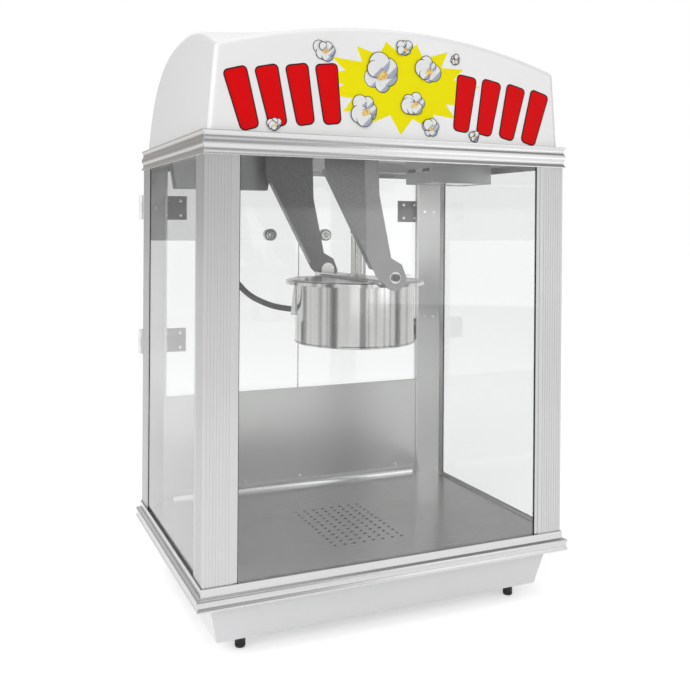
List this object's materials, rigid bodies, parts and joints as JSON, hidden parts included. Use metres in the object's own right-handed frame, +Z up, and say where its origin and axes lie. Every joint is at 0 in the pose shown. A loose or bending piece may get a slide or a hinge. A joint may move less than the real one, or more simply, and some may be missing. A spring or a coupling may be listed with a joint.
{
  "type": "countertop popcorn machine",
  "caption": "Countertop popcorn machine: glazed cabinet with a tilting covered kettle, perforated deck, rear doors and a white domed top.",
  "frame": {"origin": "centre of the outer box, on the surface the feet stand on", "axes": "+Z up, +X to the right seen from the front, the front glass faces -Y"},
  "size_m": [0.711, 0.5206, 1.043],
  "materials": {
    "white_paint": "gloss",
    "trim_aluminium": "satin",
    "post_aluminium": "fluted satin",
    "deck_steel": "brushed",
    "galvanised": "matte spangled",
    "polished_steel": "polished",
    "plain_steel": "satin",
    "clear_glass": "clear",
    "clear_acrylic": "clear",
    "bulb_glass": "frosted",
    "dome_plastic": "gloss",
    "black_rubber": "matte",
    "black_plastic": "matte",
    "red_plastic": "gloss",
    "grey_paint": "matte",
    "white_ceramic": "gloss",
    "braid": "braided"
  },
  "bodies": {
    "cabinet": {"base_pan": "white_paint", "feet": "black_rubber", "base_trim_front": "trim_aluminium", "base_trim_rear": "trim_aluminium", "base_trim_left": "trim_aluminium", "base_trim_right": "trim_aluminium", "top_trim_front": "trim_aluminium", "top_trim_rear": "trim_aluminium", "top_trim_left": "trim_aluminium", "top_trim_right": "trim_aluminium", "sill_rails": "post_aluminium", "header_rails": "post_aluminium", "deck_plate": "deck_steel", "deck_heater": "black_plastic", "post_front_left": "post_aluminium", "post_front_right": "post_aluminium", "post_rear_left": "post_aluminium", "post_rear_right": "post_aluminium", "corner_covers": "deck_steel", "glass_front": "clear_glass", "glass_left": "clear_glass", "glass_right": "clear_glass", "ceiling_plate": "deck_steel", "dome": "dome_plastic", "wiring_box": "galvanised", "switch_plate": "black_plastic", "lamp_housing": "galvanised", "lamp_holder": "white_ceramic", "lamp_bulb": "bulb_glass", "lamp_lens": "clear_glass", "kettle_socket": "black_plastic", "drive_motor": "grey_paint", "kettle_arm_front": "galvanised", "kettle_arm_rear": "galvanised", "rear_panel": "deck_steel", "rear_sill": "polished_steel", "panel_screws": "plain_steel", "post_leaves": "plain_steel", "kettle_lead": "braid", "lead_plug": "black_plastic"},
    "kernel_drawer": {"kernel_drawer": "deck_steel"},
    "door_left": {"door_left": "clear_acrylic", "door_leaves_left": "plain_steel", "door_knob_left": "polished_steel"},
    "door_right": {"door_right": "clear_acrylic", "door_leaves_right": "plain_steel", "door_knob_right": "polished_steel"},
    "rocker_heat": {"rocker_heat": "red_plastic"},
    "rocker_motor": {"rocker_motor": "black_plastic"},
    "rocker_light": {"rocker_light": "black_plastic"},
    "drive_shaft": {"drive_shaft": "plain_steel"},
    "kettle": {"kettle_shell": "polished_steel", "kettle_bowl": "polished_steel", "kettle_heater": "grey_paint", "kettle_crossbar": "polished_steel", "shaft_sleeve": "plain_steel", "terminal_box": "polished_steel"},
    "agitator": {"agitator": "plain_steel"},
    "lid_left": {"lid_left": "polished_steel"},
    "lid_right": {"lid_right": "polished_steel"}
  },
  "joints": [
    {"name": "door_left_hinge", "type": "hinge", "parent": "cabinet", "child": "door_left", "pos_m": [-0.347, 0.24925, 0.6], "axis": [0, 0, 1], "range_deg": [0, 110]},
    {"name": "door_right_hinge", "type": "hinge", "parent": "cabinet", "child": "door_right", "pos_m": [0.347, 0.24925, 0.6], "axis": [0, 0, -1], "range_deg": [0, 110]},
    {"name": "drawer_slide", "type": "slide", "parent": "cabinet", "child": "kernel_drawer", "axis": [0, 1, 0], "range_m": [0, 0.22]},
    {"name": "kettle_tilt", "type": "hinge", "parent": "cabinet", "child": "kettle", "pos_m": [0.033, -0.00625, 0.606], "axis": [0, 1, 0], "range_deg": [0, 80], "deforming": ["kettle_lead"]},
    {"name": "drive_spin", "type": "hinge", "parent": "cabinet", "child": "drive_shaft", "pos_m": [0.026, -0.00625, 0.75], "axis": [0, 0, 1], "continuous": true},
    {"name": "agitator_spin", "type": "hinge", "parent": "kettle", "child": "agitator", "pos_m": [0.026, -0.00625, 0.55], "axis": [0, 0, 1], "continuous": true},
    {"name": "lid_left_hinge", "type": "hinge", "parent": "kettle", "child": "lid_left", "pos_m": [0.0012, -0.00625, 0.5968], "axis": [0, 1, 0], "range_deg": [0, 75]},
    {"name": "lid_right_hinge", "type": "hinge", "parent": "kettle", "child": "lid_right", "pos_m": [0.0508, -0.00625, 0.5968], "axis": [0, -1, 0], "range_deg": [0, 75]},
    {"name": "rocker_heat_tilt", "type": "hinge", "parent": "cabinet", "child": "rocker_heat", "pos_m": [-0.24, 0.21625, 0.811], "axis": [-1, 0, 0], "range_deg": [0, 16]},
    {"name": "rocker_motor_tilt", "type": "hinge", "parent": "cabinet", "child": "rocker_motor", "pos_m": [-0.19, 0.21625, 0.811], "axis": [-1, 0, 0], "range_deg": [0, 16]},
    {"name": "rocker_light_tilt", "type": "hinge", "parent": "cabinet", "child": "rocker_light", "pos_m": [-0.14, 0.21625, 0.811], "axis": [-1, 0, 0], "range_deg": [0, 16]}
  ],
  "couplings": [
    {"joint": "agitator_spin", "follows": "drive_spin", "ratio": 1}
  ]
}
